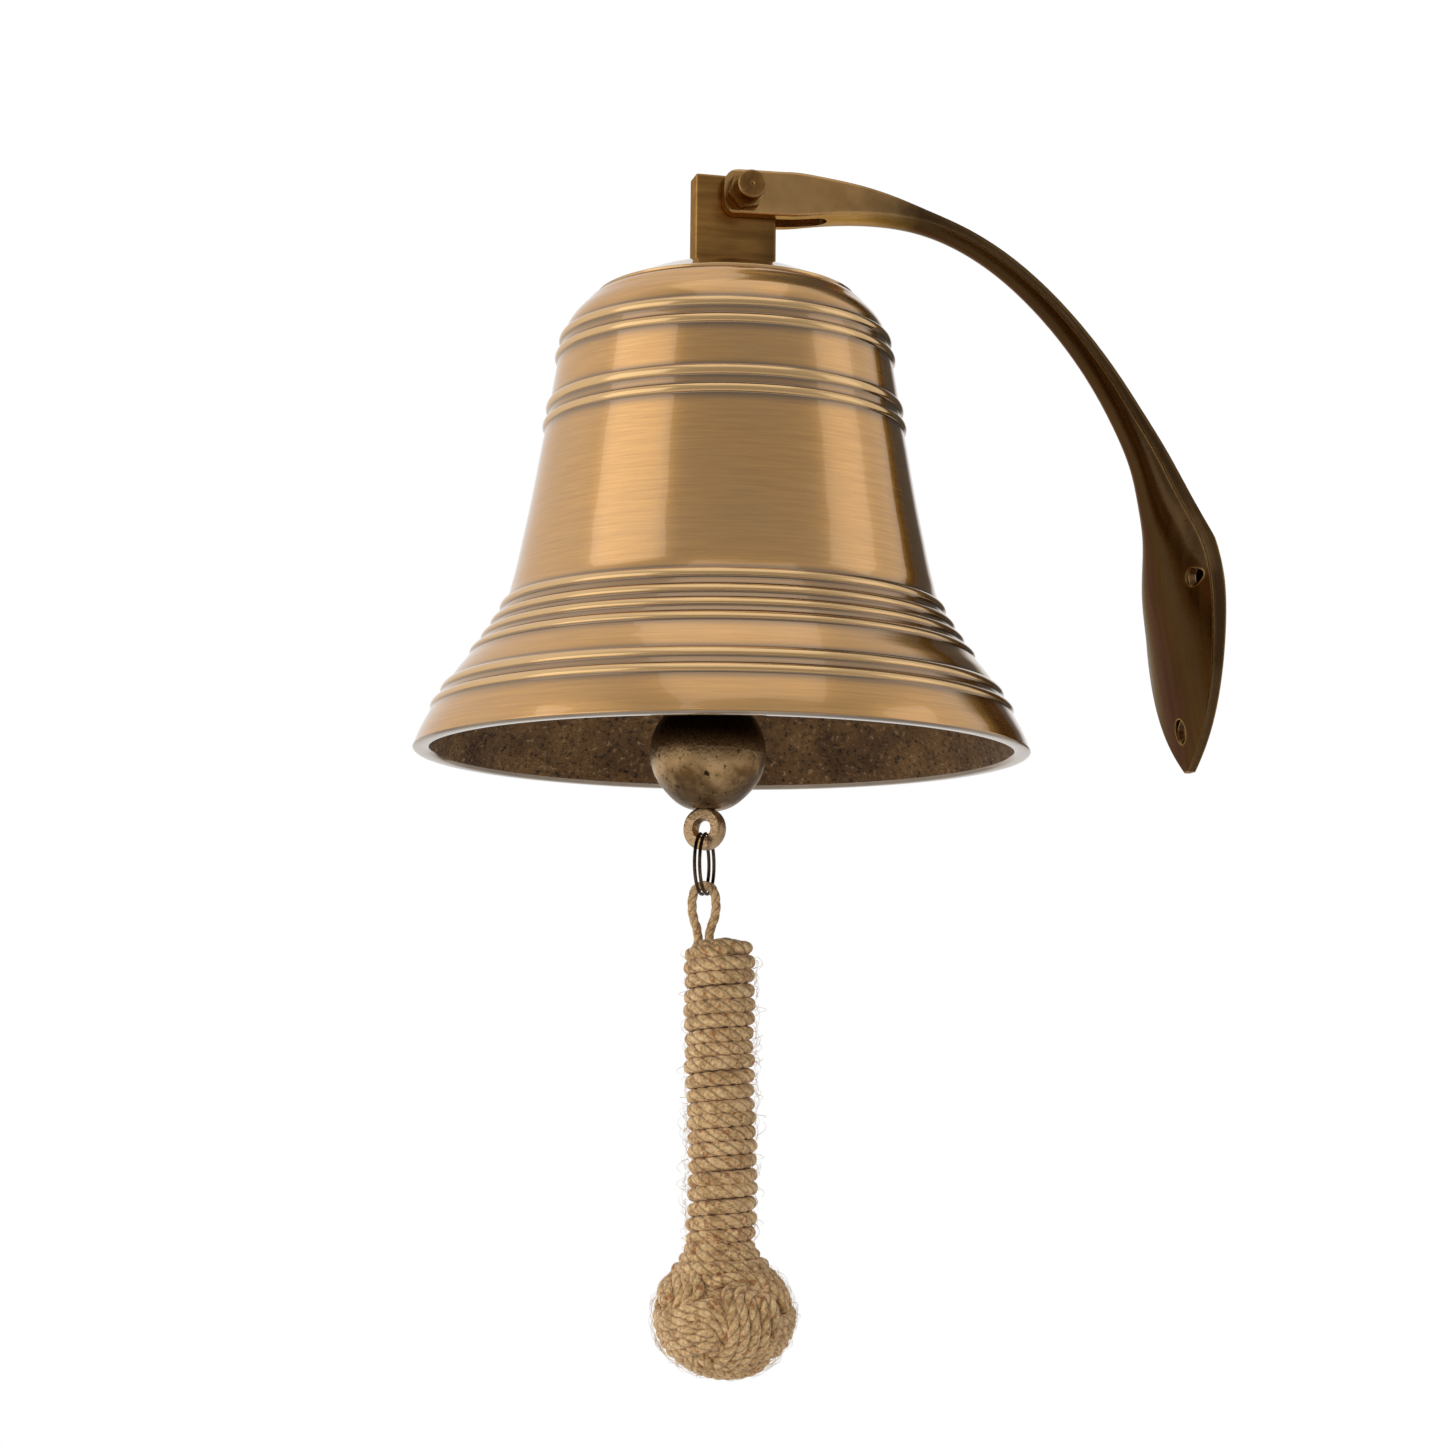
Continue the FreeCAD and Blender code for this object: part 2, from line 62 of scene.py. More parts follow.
# the beads' heights above the mouth, and their half heights
BEADS = [(0.0151, 0.0015), (0.0205, 0.0016), (0.0332, 0.0014), (0.0381, 0.0014), (0.0428, 0.0014),
         (0.0482, 0.0015), (0.1096, 0.0016), (0.1157, 0.0018), (0.1332, 0.0016), (0.1392, 0.0017)]
# the bell's outer profile without its beads: (height above the mouth, radius)
WAIST = [(0.0008, 0.1014), (0.006, 0.0993), (0.012, 0.0962), (0.0178, 0.0929), (0.0254, 0.0879),
         (0.030, 0.0843), (0.0357, 0.080), (0.0405, 0.0768), (0.0455, 0.0738), (0.0515, 0.0711),
         (0.0566, 0.0697), (0.063, 0.0682), (0.071, 0.0666), (0.081, 0.0646), (0.091, 0.0628),
         (0.101, 0.0611), (0.1126, 0.059), (0.122, 0.0576), (0.130, 0.0563), (0.1362, 0.0552),
         (0.143, 0.0532), (0.1466, 0.051), (0.1499, 0.0479), (0.1523, 0.0456), (0.154, 0.043)]
BEAD_PROUD = 0.0012
PROFILE_STEP = 0.0003
# the cap on the crown, from its rounded edge to the crown block: (radius, height, bead, patina with painted
# dark reflection)
CAP = [(0.0430, 0.1540, 0.8, 0.0), (0.0434, 0.1545, 0.8, 0.0), (0.0425, 0.1550, 0.8, 0.0),
       (0.0402, 0.1558, 0.0, 0.7), (0.035, 0.1581, 0.0, 0.7), (0.0287, 0.1608, 0.0, 0.0),
       (0.021, 0.1634, 0.0, 0.0), (0.012, 0.1650, 0.0, 0.0), (0.001, 0.1650, 0.0, 0.0)]
# the wall's thickness: (height, thickness), and the inner crown: (radius, height)
WALL = [(0.0, 0.0056), (0.012, 0.0050), (0.026, 0.0044), (0.042, 0.0038), (0.062, 0.0036),
        (0.084, 0.0036), (0.106, 0.0038), (0.124, 0.0040), (0.136, 0.0046)]
INNER_CROWN = [(0.046, 0.1448), (0.0406, 0.1498), (0.032, 0.1546), (0.021, 0.1582), (0.010, 0.1598),
               (0.001, 0.1598)]
LIP_R = WAIST[0][1]
LIP_INNER_R = LIP_R - WALL[0][1]
LIP_RISE = 0.0012          # the lip's rounded inner edge starts at this height

# ---- the loop's cord -------------------------------------------------------
CORD_D = 0.0031
# its route: (along the ring's axis, height above the mouth)
LOOP = [(-0.0018, -0.0620), (-0.0018, -0.0582), (-0.0038, -0.0532), (-0.0041, -0.0480),
        (-0.0031, -0.0439), (0.0001, -0.0428), (0.0031, -0.0440), (0.0042, -0.0482),
        (0.0039, -0.0534), (0.0018, -0.0583), (0.0018, -0.0620)]

# ---- grip and knot ---------------------------------------------------------
STRANDS = 3
STRAND_LAY = 0.0125        # a strand goes once round its cord in this length
WRAP_TURNS = 21
WRAP_CORD_R = 0.00235
WRAP_STRAY = 0.0005        # how far a turn strays from its even place
WRAP_STEPS = 64            # points in one turn
WRAP_CENTRE = (WRAP_LOW + WRAP_HIGH) / 2
WRAP_R = (WRAP_HIGH.x - WRAP_LOW.x) / 2
GRIP_BOW = 0.0007
GRIP_LEAN = 0.0016
NECK_TURNS = 2.6
NECK_SPREAD = 0.0062       # how much wider the neck's coil ends than it starts
TOP_TURNS = 2.2
COIL_STEPS = 160
KNOT_CORD_R = 0.00195
KNOT_PASSES = 5
KNOT_BIGHTS = 4
KNOT_LEADS = 3
KNOT_PITCH = 1.92          # cord radii between neighbouring cords of a band
KNOT_REACH = 58.0          # degrees of latitude that the outer weave reaches
UNDER_REACH = 72.0         # and the weave beneath it
UNDER_DEPTH = 1.5          # cord radii between the two weaves
KNOT_STEPS = 420
KNOT_HALF = Vector(((KNOT_HIGH.x - KNOT_LOW.x) / 2, (KNOT_HIGH.y - KNOT_LOW.y) / 2, 0.0206))
KNOT_CENTRE = (KNOT_LOW + KNOT_HIGH) / 2
KNOT_CENTRE.z = KNOT_LOW.z + KNOT_HALF.z
ALL_ROUND = Vector((1, 1, 1))

# ---- loose fibres ----------------------------------------------------------
FUZZ = 1500
FIBRE_R = 0.00007
FIBRE_POINTS = 7
GRIP_FIBRE_R = WRAP_R - 0.0004
KNOT_FIBRE_R = 0.0232
KNOT_FIBRE_HEIGHT = 0.0200

# ---- stage -----------------------------------------------------------------
FLOOR_DROP = 0.62
FLOOR_HALF = 1.5


def make_camera():
    """The camera: in front, a little to the left and below, with a slight roll."""
    place = Vector((-0.4125, -0.9889, -0.1682))
    forward = Vector((0.2397, 0.9614, 0.1353)).normalized()
    roll = math.radians(0.5389)
    right = forward.cross(Vector((0, 0, 1))).normalized()
    up = right.cross(forward)
    rolled_right = right * math.cos(roll) + up * math.sin(roll)
    rolled_up = up * math.cos(roll) - right * math.sin(roll)
    turn = Matrix((rolled_right, rolled_up, -forward)).transposed()
    data = bpy.data.cameras.new("camera")
    data.lens = 77.69
    data.sensor_width = 36.0
    camera = bpy.data.objects.new("camera", data)
    camera.matrix_world = Matrix.Translation(place) @ turn.to_4x4()
    scene.collection.objects.link(camera)
    scene.camera = camera


def link(name, mesh, body, material):
    """A new piece that rides on a body and takes its finish from a slot."""
    piece = bpy.data.objects.new(name, mesh)
    scene.collection.objects.link(piece)
    mesh.materials.append(material)
    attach(piece, body)
    return piece


# ---- mesh helpers ----------------------------------------------------------
def smooth(mesh):
    for polygon in mesh.polygons:
        polygon.use_smooth = True


def tube_faces(rows, around):
    """The quads between closed rows of points that follow each other."""
    faces = []
    for i in range(rows - 1):
        for k in range(around):
            a = i * around + k
            b = i * around + (k + 1) % around
            faces.append((a, b, b + around, a + around))
    return faces


# ---- cord meshes -----------------------------------------------------------
def spline_points(route):
    """Even points read from one smooth curve whose control points are the route's."""
    curve = bpy.data.curves.new("route", "CURVE")
    curve.dimensions = "3D"
    curve.resolution_u = 16
    spline = curve.splines.new("NURBS")
    spline.points.add(len(route) - 1)
    for point, place in zip(spline.points, route):
        point.co = (*place, 1.0)
    spline.order_u = 3
    spline.use_endpoint_u = True
    carrier = bpy.data.objects.new("route", curve)
    line = bpy.data.meshes.new_from_object(carrier)
    points = [vertex.co.copy() for vertex in line.vertices]
    bpy.data.objects.remove(carrier)
    bpy.data.curves.remove(curve)
    bpy.data.meshes.remove(line)
    return points


def even(points, step):
    """The same line with its points a fixed step apart."""
    kept = [points[0]]
    left = step
    for a, b in zip(points, points[1:]):
        length = (b - a).length
        done = 0.0
        while length - done >= left:
            done += left
            kept.append(a.lerp(b, done / length))
            left = step
        left -= length - done
    # the line's end is kept too, unless the last point lies close to it
    if (kept[-1] - points[-1]).length > step * 0.3:
        kept.append(points[-1])
    return kept


def twisted_cord(name, points, radius, lay=STRAND_LAY, around=24, phase=0.0):
    """A cord of laid strands along a line: a lobed section that turns once in each lay.

    Its UV map holds the millimetres travelled and how close a point is to a strand's crest."""
    step = radius * 0.22
    line = even(points, step)
    vertices = []
    coordinates = []
    normal = None
    travelled = 0.0
    for i, here in enumerate(line):
        ahead = line[min(i + 1, len(line) - 1)]
        behind = line[max(i - 1, 0)]
        tangent = (ahead - behind).normalized()
        if normal is None:
            normal = tangent.orthogonal().normalized()
        normal = (normal - tangent * normal.dot(tangent)).normalized()
        side = tangent.cross(normal)
        if i > 0:
            travelled += (here - line[i - 1]).length
        turn = 2 * math.pi * travelled / lay + phase
        for k in range(around):
            angle = 2 * math.pi * k / around
            lobe = abs(math.cos((angle - turn) * STRANDS / 2))
            reach = radius * (0.78 + 0.22 * lobe ** 0.6)
            vertices.append(here + (normal * math.cos(angle) + side * math.sin(angle)) * reach)
            coordinates.append((travelled * 1000, lobe))
    faces = tube_faces(len(line), around)
    faces.append(tuple(reversed(range(around))))
    faces.append(tuple(range((len(line) - 1) * around, len(line) * around)))
    mesh = bpy.data.meshes.new(name)
    mesh.from_pydata([tuple(v) for v in vertices], [], faces)
    layer = mesh.uv_layers.new(name="along")
    for loop in mesh.loops:
        u, v = coordinates[loop.vertex_index]
        layer.data[loop.index].uv = (u, v)
    smooth(mesh)
    mesh.update()
    return mesh


def joined(name, meshes):
    """One mesh of several."""
    work = bmesh.new()
    for mesh in meshes:
        work.from_mesh(mesh)
        bpy.data.meshes.remove(mesh)
    result = bpy.data.meshes.new(name)
    work.to_mesh(result)
    work.free()
    smooth(result)
    return result


# ---- bell ------------------------------------------------------------------
def follow(table, x):
    """Smooth value at x of a table of (x, value) rows."""
    last = len(table) - 1
    i = 0
    while i < last - 1 and x > table[i + 1][0]:
        i += 1
    x0, v0 = table[i]
    x1, v1 = table[i + 1]
    before = table[max(i - 1, 0)]
    after = table[min(i + 2, last)]
    slope0 = (v1 - before[1]) / (x1 - before[0])
    slope1 = (after[1] - v0) / (after[0] - x0)
    span = x1 - x0
    t = (x - x0) / span
    low = (1 + 2 * t) * (1 - t) ** 2 * v0 + t * (1 - t) ** 2 * span * slope0
    return low + t * t * (3 - 2 * t) * v1 + t * t * (t - 1) * span * slope1


def lathed(profile, name, around=256):
    """A closed surface of revolution about the bell's axis. Each profile row is (radius, height, zones)."""
    vertices = []
    for radius, height, _ in profile:
        for k in range(around):
            angle = 2 * math.pi * k / around
            vertices.append((BELL_X + radius * math.cos(angle), radius * math.sin(angle), MOUTH_Z + height))
    mesh = bpy.data.meshes.new(name)
    mesh.from_pydata(vertices, [], tube_faces(len(profile), around))
    zones = mesh.color_attributes.new("zones", "FLOAT_COLOR", "POINT")
    for i, (_, _, zone) in enumerate(profile):
        for k in range(around):
            zones.data[i * around + k].color = (*zone, 1.0)
    smooth(mesh)
    mesh.update()
    return mesh


def outer_profile():
    """The bell's outside from the lip to the cap: zones are (bead, patina beside a bead with a painted dark
    reflection below it, lip).
    """
    rows = []
    height = WAIST[0][0]
    while height < WAIST[-1][0]:
        radius = follow(WAIST, height)
        bead = 0.0
        patina_and_reflection = 0.0
        for middle, half in BEADS:
            away = abs(height - middle)
            if away < half:
                radius += BEAD_PROUD * math.sqrt(1 - (away / half) ** 2)
                bead = max(bead, 1 - (away / half) ** 4)
            # the dark line beside a bead is patina, and it is wider below the bead, where it is a painted
            # reflection of the dark below
            reach = 0.0019 if height < middle else 0.0011
            if away > half * 0.75:
                patina_and_reflection = max(patina_and_reflection, math.exp(-((away - half) / reach) ** 2))
        rows.append((radius, height, (bead, patina_and_reflection, 0.0)))
        height += PROFILE_STEP
    rows += [(radius, height, (bead, patina_and_reflection, 0.0)) for radius, height, bead, patina_and_reflection in CAP]
    return rows


def inner_profile():
    """The casting's inside from the crown down to the lip, in four steps between given points."""
    points = [(LIP_INNER_R, LIP_RISE)]
    points += [(follow(WAIST, height) - thickness, height) for height, thickness in WALL[1:]]
    points += INNER_CROWN
    steps = 4
    rows = []
    for (r0, h0), (r1, h1) in zip(points, points[1:]):
        for k in range(steps):
            rows.append((r0 + (r1 - r0) * k / steps, h0 + (h1 - h0) * k / steps, (0.0, 0.0, 0.0)))
    rows.append((*points[-1], (0.0, 0.0, 0.0)))
    return list(reversed(rows))


def make_bell(metal, cast):
    """The shell as one fine surface of revolution outside, and a rough cast surface inside."""
    lip = [(LIP_INNER_R, LIP_RISE), (LIP_INNER_R + 0.0004, 0.0003), (LIP_INNER_R + 0.0012, 0.0),
           (LIP_R - 0.0014, 0.0), (LIP_R - 0.0006, 0.0002), (LIP_R - 0.0001, 0.0006)]
    profile = [(radius, height, (0.0, 0.0, 1.0)) for radius, height in lip]
    profile += outer_profile()
    outside = link("bell_outside", lathed(profile, "bell_outside"), "bell", metal)
    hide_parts("bell_shell")
    link("bell_inside", lathed(inner_profile(), "bell_inside"), "bell", cast)


# ---- rope pull -------------------------------------------------------------
def make_pull_loop(material):
    """The twisted cord's loop through the split ring."""
    route = [RING_CENTRE + RING_AXIS * u for u, _ in LOOP]
    for place, (_, height) in zip(route, LOOP):
        place.z = MOUTH_Z + height
    points = spline_points(route)
    mesh = twisted_cord("loop_cord", points, CORD_D / 2, lay=3.4 * CORD_D, around=18)
    piece = link("loop_cord", mesh, "pull", material)
    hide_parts("pull_loop")


def make_grip(material, chance):
    """The cord wound round the grip's core, a little uneven from turn to turn."""
    height = WRAP_HIGH.z - WRAP_LOW.z - 2 * WRAP_CORD_R
    bulge = [chance.uniform(-1, 1) for _ in range(WRAP_TURNS + 2)]
    lift = [chance.uniform(-1, 1) for _ in range(WRAP_TURNS + 2)]
    points = []
    for i in range(WRAP_TURNS * WRAP_STEPS + 1):
        turn = i / WRAP_STEPS
        whole = int(turn)
        part = turn - whole
        share = turn / WRAP_TURNS
        out = bulge[whole] * (1 - part) + bulge[whole + 1] * part
        up = lift[whole] * (1 - part) + lift[whole + 1] * part
        angle = 2 * math.pi * turn - math.pi / 2
        reach = WRAP_R - WRAP_CORD_R + out * WRAP_STRAY
        z = WRAP_LOW.z + WRAP_CORD_R + height * share + up * WRAP_STRAY
        # the grip bows a little and leans back at its top
        bend = GRIP_BOW * math.sin(2.2 * math.pi * share) - GRIP_LEAN * share ** 6
        points.append(Vector((WRAP_CENTRE.x + bend + reach * math.cos(angle),
                              WRAP_CENTRE.y + reach * math.sin(angle), z)))
    mesh = twisted_cord("grip_winding", points, WRAP_CORD_R)
    piece = link("grip_winding", mesh, "pull", material)
    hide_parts("pull_wrap")


def coil(turns, reach, height, shift):
    """A line round the grip's axis. reach, height and shift are functions of the share travelled."""
    points = []
    for i in range(COIL_STEPS + 1):
        share = i / COIL_STEPS
        angle = 2 * math.pi * turns * share - math.pi / 2
        points.append(Vector((WRAP_CENTRE.x + shift(share) + reach(share) * math.cos(angle),
                              WRAP_CENTRE.y + reach(share) * math.sin(angle), height(share))))
    return points


def make_coils(material):
    """The turns that widen from the grip's foot onto the knot, and the flat coil on the grip's top."""
    outer = WRAP_R - WRAP_CORD_R
    neck = coil(-NECK_TURNS,
                reach=lambda share: outer + NECK_SPREAD * share ** 1.4,
                height=lambda share: WRAP_LOW.z + 0.0030 - 0.0085 * share,
                shift=lambda share: 0.0012 * share)
    top = coil(TOP_TURNS,
               reach=lambda share: 0.0022 + (outer - 0.0030) * share,
               height=lambda share: WRAP_HIGH.z - 0.0003 - 0.0012 * share,
               shift=lambda share: -0.0008)
    for name, points in [("neck_winding", neck), ("grip_top", top)]:
        mesh = twisted_cord(name, points, WRAP_CORD_R)
        link(name, mesh, "pull", material)


def stretched(place, size):
    """A place on or near the unit ball, carried to the knot's flattened ball."""
    return KNOT_CENTRE + Vector((place.x * size.x, place.y * size.y, place.z * size.z))


def knot_band(offset, frame_turn, half, reach):
    """One cord of a woven band: a three-lead, four-bight weave over a flattened ball."""
    points = []
    for i in range(KNOT_STEPS + 1):
        angle = 2 * math.pi * KNOT_LEADS * i / KNOT_STEPS
        wave = angle * KNOT_BIGHTS / KNOT_LEADS
        # the band's own direction, to set the cords of one band side by side
        slope = reach * math.cos(wave) * KNOT_BIGHTS / KNOT_LEADS
        latitude = reach * math.sin(wave)
        level = math.cos(latitude)
        along = Vector((level, slope)).normalized()
        latitude += offset * along.x
        shifted = angle - offset * along.y / max(level, 0.35)
        # the cord goes over and under where the band crosses itself
        over = 0.62 * KNOT_CORD_R * math.sin(2 * wave)
        place = Vector((math.cos(shifted) * math.cos(latitude),
                        math.sin(shifted) * math.cos(latitude), math.sin(latitude)))
        depth = 1.65 * KNOT_CORD_R - over
        points.append(stretched(frame_turn @ place, half - ALL_ROUND * depth))
    return points


def make_knot(material):
    """The ball knot: a woven band of parallel cords, over a second one that fills its gaps."""
    turn = Quaternion((0, 0, 1), math.radians(-25)) @ Quaternion((1, 0, 0), math.radians(62))
    turn = turn @ Quaternion((0, 0, 1), math.radians(20))
    under_turn = turn @ Quaternion((0, 0, 1), math.radians(45))
    under_half = KNOT_HALF - ALL_ROUND * UNDER_DEPTH * KNOT_CORD_R
    # each weave: (its turn, its ball's half size, the latitude it reaches, its strands' phase)
    weaves = [(turn, KNOT_HALF, KNOT_REACH, 0.0), (under_turn, under_half, UNDER_REACH, 1.5)]
    spacing = KNOT_PITCH * KNOT_CORD_R / ((KNOT_HALF.x + KNOT_HALF.z) / 2)
    meshes = []
    for k in range(KNOT_PASSES):
        offset = (k - (KNOT_PASSES - 1) / 2) * spacing
        for frame_turn, half, reach, phase in weaves:
            points = knot_band(offset, frame_turn, half, math.radians(reach))
            meshes.append(twisted_cord("band", points, KNOT_CORD_R, phase=k + phase))
    piece = link("knot_bands", joined("knot_bands", meshes), "pull", material)
    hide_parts("pull_knot")


def make_knot_core(material):
    """The ball that shows only where the weaves leave a gap; its darker jute is painted shade in those
    gaps.
    """
    size = KNOT_HALF - ALL_ROUND * 3.7 * KNOT_CORD_R
    work = bmesh.new()
    bmesh.ops.create_icosphere(work, subdivisions=4, radius=1.0)
    for vertex in work.verts:
        ripple = 1 + 0.03 * math.sin(9 * vertex.co.x + 7 * vertex.co.z)
        vertex.co = stretched(vertex.co * ripple, size)
    core = bpy.data.meshes.new("knot_core")
    work.to_mesh(core)
    work.free()
    smooth(core)
    link("knot_core", core, "pull", material)


def grip_fibre_place(angle, height, around, up, stand):
    """A point of a fibre that has gone around and up by these lengths from its root on the grip."""
    bearing = angle + around / GRIP_FIBRE_R
    reach = GRIP_FIBRE_R + stand
    return Vector((WRAP_CENTRE.x + reach * math.cos(bearing),
                   WRAP_CENTRE.y + reach * math.sin(bearing), height + up * 0.6))


def knot_fibre_place(angle, level, around, up, stand):
    """The same on the knot, where the root is given by its angle and its level from -1 to 1."""
    flat = Vector((math.cos(angle), math.sin(angle), 0))
    outward = (flat * math.sqrt(1 - level * level) + Vector((0, 0, level))).normalized()
    side = outward.cross(Vector((0, 0, 1))).normalized()
    lean = side * around + outward.cross(side) * up
    way = (outward + lean / 0.022).normalized()
    flat_size = KNOT_FIBRE_R + stand
    return stretched(way, Vector((flat_size, flat_size, KNOT_FIBRE_HEIGHT + stand)))


def make_fuzz(material, chance):
    """Loose fibres that stand off the winding and the knot."""
    curve = bpy.data.curves.new("fuzz", "CURVE")
    curve.dimensions = "3D"
    curve.bevel_depth = FIBRE_R
    curve.bevel_resolution = 0
    for i in range(FUZZ):
        angle = chance.uniform(0, 2 * math.pi)
        height = chance.uniform(WRAP_LOW.z, WRAP_HIGH.z - 0.004)
        level = chance.uniform(-0.95, 0.85)
        around = chance.uniform(-1, 1)
        up = chance.uniform(-1, 1)
        length = chance.uniform(0.004, 0.012)
        # one fibre in five stands up more than the others
        rise = chance.uniform(0.02, 0.14) if i % 5 else chance.uniform(0.1, 0.35)
        spline = curve.splines.new("POLY")
        spline.points.add(FIBRE_POINTS - 1)
        for k, point in enumerate(spline.points):
            t = k / (FIBRE_POINTS - 1)
            gone = length * t
            stand = length * rise * math.sin(t * 2.4)
            if i % 5 < 3:
                place = grip_fibre_place(angle, height, around * gone, up * gone, stand)
            else:
                place = knot_fibre_place(angle, level, around * gone, up * gone, stand)
            point.co = (*place, 1.0)
            point.radius = 1.0 - 0.6 * t
    piece = bpy.data.objects.new("fuzz", curve)
    scene.collection.objects.link(piece)
    curve.materials.append(material)
    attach(piece, "pull")


# ---- materials -------------------------------------------------------------
class Shader:
    """A short way to build one material's nodes."""

    def __init__(self, name):
        self.material = bpy.data.materials.new(name)
        self.material.use_nodes = True
        self.tree = self.material.node_tree
        self.surface = self.tree.nodes["Principled BSDF"]
        coordinates = self.tree.nodes.new("ShaderNodeTexCoord")
        self.place = coordinates.outputs["Object"]
        self.along = coordinates.outputs["UV"]

    def join(self, source, target):
        self.tree.links.new(source, target)

    def give(self, socket, value):
        """Link an output to a socket, or set a constant on it."""
        if isinstance(value, bpy.types.NodeSocket):
            self.join(value, socket)
        else:
            socket.default_value = value

    def maths(self, operation, a, b=0.0):
        node = self.tree.nodes.new("ShaderNodeMath")
        node.operation = operation
        self.give(node.inputs[0], a)
        self.give(node.inputs[1], b)
        return node.outputs[0]

    def vector(self, x, y, z):
        node = self.tree.nodes.new("ShaderNodeCombineXYZ")
        for socket, value in zip(node.inputs, (x, y, z)):
            self.give(socket, value)
        return node.outputs[0]

    def parts(self, vector):
        node = self.tree.nodes.new("ShaderNodeSeparateXYZ")
        self.join(vector, node.inputs[0])
        return node.outputs

    def noise(self, vector, scale, detail=3.0, roughness=0.5):
        node = self.tree.nodes.new("ShaderNodeTexNoise")
        self.join(vector, node.inputs["Vector"])
        node.inputs["Scale"].default_value = scale
        node.inputs["Detail"].default_value = detail
        node.inputs["Roughness"].default_value = roughness
        return node.outputs["Fac"]

    def spread(self, value, low, high, to_low=0.0, to_high=1.0):
        """A value carried from low..high to to_low..to_high, and held at the ends."""
        node = self.tree.nodes.new("ShaderNodeMapRange")
        self.give(node.inputs["Value"], value)
        node.inputs["From Min"].default_value = low
        node.inputs["From Max"].default_value = high
        node.inputs["To Min"].default_value = to_low
        node.inputs["To Max"].default_value = to_high
        return node.outputs["Result"]

    def mix(self, share, a, b):
        """Colour a where share is 0 and b where it is 1."""
        node = self.tree.nodes.new("ShaderNodeMix")
        node.data_type = "RGBA"
        self.give(node.inputs["Factor"], share)
        self.give(node.inputs[6], a)
        self.give(node.inputs[7], b)
        return node.outputs[2]

    def bump(self, height, strength, distance):
        node = self.tree.nodes.new("ShaderNodeBump")
        node.inputs["Strength"].default_value = strength
        node.inputs["Distance"].default_value = distance
        self.join(height, node.inputs["Height"])
        return node.outputs["Normal"]

    def edge(self, radius):
        """1 on edges and 0 on flat or gently curved faces."""
        bevel = self.tree.nodes.new("ShaderNodeBevel")
        bevel.inputs["Radius"].default_value = radius
        bevel.samples = 6
        geometry = self.tree.nodes.new("ShaderNodeNewGeometry")
        dot = self.tree.nodes.new("ShaderNodeVectorMath")
        dot.operation = "DOT_PRODUCT"
        self.join(bevel.outputs[0], dot.inputs[0])
        self.join(geometry.outputs["Normal"], dot.inputs[1])
        return self.spread(dot.outputs["Value"], 0.998, 0.9)

    def colour(self, value):
        self.give(self.surface.inputs["Base Color"], value)

    def set(self, **values):
        for name, value in values.items():
            self.give(self.surface.inputs[name.replace("_", " ")], value)


GOLD = (0.62, 0.39, 0.15, 1)


def bell_material():
    """Satin antique brass, brushed round the bell, with bright beads under a clear lacquer."""
    s = Shader("bell_brass")
    x, y, z = s.parts(s.place)
    x = s.maths("SUBTRACT", x, BELL_X)
    h = s.maths("SUBTRACT", z, MOUTH_Z)
    radius = s.maths("SQRT", s.maths("ADD", s.maths("MULTIPLY", x, x), s.maths("MULTIPLY", y, y)))
    zones = s.tree.nodes.new("ShaderNodeVertexColor")
    zones.layer_name = "zones"
    bead, patina_and_reflection, lip = s.parts(zones.outputs["Color"])

    # brushing: fine lines round the bell, long in angle and thin in height
    round_x = s.maths("DIVIDE", x, radius)
    round_y = s.maths("DIVIDE", y, radius)
    brush = s.noise(s.vector(round_x, round_y, s.maths("MULTIPLY", h, 420.0)), 3.2, 4.0, 0.65)
    fine = s.noise(s.vector(round_x, round_y, s.maths("MULTIPLY", h, 1500.0)), 5.0, 2.0, 0.6)
    cloud = s.noise(s.place, 26.0, 4.0, 0.6)
    body = s.mix(s.spread(brush, 0.3, 0.7), (0.52, 0.262, 0.068, 1), (0.67, 0.355, 0.098, 1))
    body = s.mix(s.spread(cloud, 0.42, 0.72, 0.0, 0.35), body, (0.47, 0.29, 0.135, 1))
    # patina beside the beads, and below each bead a painted dark reflection
    body = s.mix(s.maths("MULTIPLY", patina_and_reflection, 0.85), body, (0.16, 0.105, 0.065, 1))
    body = s.mix(bead, body, (0.70, 0.43, 0.165, 1))
    lip_colour = s.mix(s.spread(cloud, 0.35, 0.7), (0.20, 0.145, 0.095, 1), (0.38, 0.29, 0.20, 1))
    s.colour(s.mix(lip, body, lip_colour))
    satin = s.spread(fine, 0.25, 0.75, 0.20, 0.28)
    satin = s.maths("SUBTRACT", satin, s.maths("MULTIPLY", bead, 0.03))
    s.set(Roughness=s.maths("ADD", satin, s.maths("MULTIPLY", lip, 0.22)), Metallic=1.0)
    s.set(Coat_Weight=1.0, Coat_Roughness=0.03, Coat_IOR=1.7)
    s.set(Specular_Tint=(0.80, 0.62, 0.42, 1))
    lines = s.maths("ADD", brush, s.maths("MULTIPLY", fine, 0.6))
    waves = s.noise(s.place, 30.0, 2.0, 0.4)
    height = s.maths("ADD", lines, s.maths("MULTIPLY", waves, 16.0))
    s.give(s.surface.inputs["Normal"], s.bump(height, 0.3, 0.00005))
    return s.material


def cast_inside_material():
    """The rough, dark, pitted casting inside the bell."""
    s = Shader("cast_inside")
    place = s.place
    pits = s.noise(place, 520.0, 3.0, 0.7)
    blotch = s.noise(place, 55.0, 5.0, 0.6)
    rough = s.mix(s.spread(blotch, 0.35, 0.7), (0.090, 0.040, 0.011, 1), (0.26, 0.135, 0.045, 1))
    rough = s.mix(s.spread(pits, 0.58, 0.74), rough, (0.44, 0.29, 0.15, 1))
    rough = s.mix(s.spread(pits, 0.45, 0.32), rough, (0.014, 0.007, 0.003, 1))
    s.colour(rough)
    s.set(Metallic=0.55, Roughness=0.58)
    height = s.maths("ADD", s.maths("MULTIPLY", pits, 3.0), blotch)
    s.give(s.surface.inputs["Normal"], s.bump(height, 0.8, 0.00045))
    return s.material


